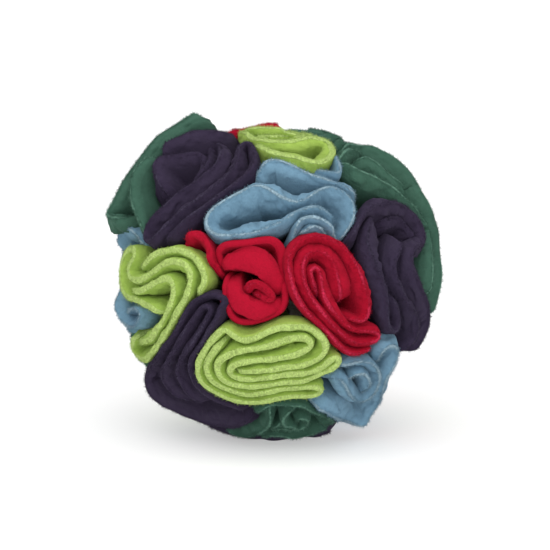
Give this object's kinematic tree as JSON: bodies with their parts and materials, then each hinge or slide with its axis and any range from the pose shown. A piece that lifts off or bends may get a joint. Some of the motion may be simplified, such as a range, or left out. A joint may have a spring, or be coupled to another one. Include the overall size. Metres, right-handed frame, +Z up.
{
  "type": "plush snuffle ball",
  "caption": "Round foraging toy: pinched fleece rosettes tacked all over a small stuffed core, whose wavy folds hide dry treats.",
  "frame": {"origin": "bottom centre of the ball's box, on the floor it rests on", "axes": "+Z up, +X to the right and -Y towards the viewer of the pictured side"},
  "size_m": [0.1406, 0.1359, 0.1362],
  "materials": {
    "fleece_navy": "matte brushed nap",
    "fleece_green": "matte brushed nap",
    "fleece_lime": "matte brushed nap",
    "fleece_blue": "matte brushed nap",
    "fleece_red": "matte brushed nap",
    "calico": "matte plain weave",
    "stuffing": "matte fibre",
    "sewing_thread": "matte"
  },
  "bodies": {
    "root": {"core_cover_lower": "calico", "core_cover_upper": "calico", "core_seam_thread": "sewing_thread", "core_stuffing": "stuffing", "pinch_thread_blue_back_lower": "sewing_thread", "pinch_thread_blue_back_upper_right": "sewing_thread", "pinch_thread_blue_left": "sewing_thread", "pinch_thread_blue_lower_right": "sewing_thread", "pinch_thread_blue_upper_middle": "sewing_thread", "pinch_thread_green_back_upper": "sewing_thread", "pinch_thread_green_bottom": "sewing_thread", "pinch_thread_green_lower_left": "sewing_thread", "pinch_thread_green_right": "sewing_thread", "pinch_thread_green_top": "sewing_thread", "pinch_thread_green_upper_left": "sewing_thread", "pinch_thread_lime_back_lower_left": "sewing_thread", "pinch_thread_lime_back_upper_left": "sewing_thread", "pinch_thread_lime_left": "sewing_thread", "pinch_thread_lime_lower_middle": "sewing_thread", "pinch_thread_lime_right_back": "sewing_thread", "pinch_thread_lime_top": "sewing_thread", "pinch_thread_navy_back_left": "sewing_thread", "pinch_thread_navy_back_upper": "sewing_thread", "pinch_thread_navy_base": "sewing_thread", "pinch_thread_navy_lower_left": "sewing_thread", "pinch_thread_navy_right": "sewing_thread", "pinch_thread_navy_upper_left": "sewing_thread", "pinch_thread_red_back_middle": "sewing_thread", "pinch_thread_red_left_middle": "sewing_thread", "pinch_thread_red_lower_right": "sewing_thread", "pinch_thread_red_right_middle": "sewing_thread", "pinch_thread_red_top_back": "sewing_thread", "rosette_blue_back_lower": "fleece_blue", "rosette_blue_back_upper_right": "fleece_blue", "rosette_blue_left": "fleece_blue", "rosette_blue_lower_right": "fleece_blue", "rosette_blue_upper_middle": "fleece_blue", "rosette_green_back_upper": "fleece_green", "rosette_green_bottom": "fleece_green", "rosette_green_lower_left": "fleece_green", "rosette_green_right": "fleece_green", "rosette_green_top": "fleece_green", "rosette_green_upper_left": "fleece_green", "rosette_lime_back_lower_left": "fleece_lime", "rosette_lime_back_upper_left": "fleece_lime", "rosette_lime_left": "fleece_lime", "rosette_lime_lower_middle": "fleece_lime", "rosette_lime_right_back": "fleece_lime", "rosette_lime_top": "fleece_lime", "rosette_navy_back_left": "fleece_navy", "rosette_navy_back_upper": "fleece_navy", "rosette_navy_base": "fleece_navy", "rosette_navy_lower_left": "fleece_navy", "rosette_navy_right": "fleece_navy", "rosette_navy_upper_left": "fleece_navy", "rosette_red_back_middle": "fleece_red", "rosette_red_left_middle": "fleece_red", "rosette_red_lower_right": "fleece_red", "rosette_red_right_middle": "fleece_red", "rosette_red_top_back": "fleece_red"}
  },
  "joints": []
}
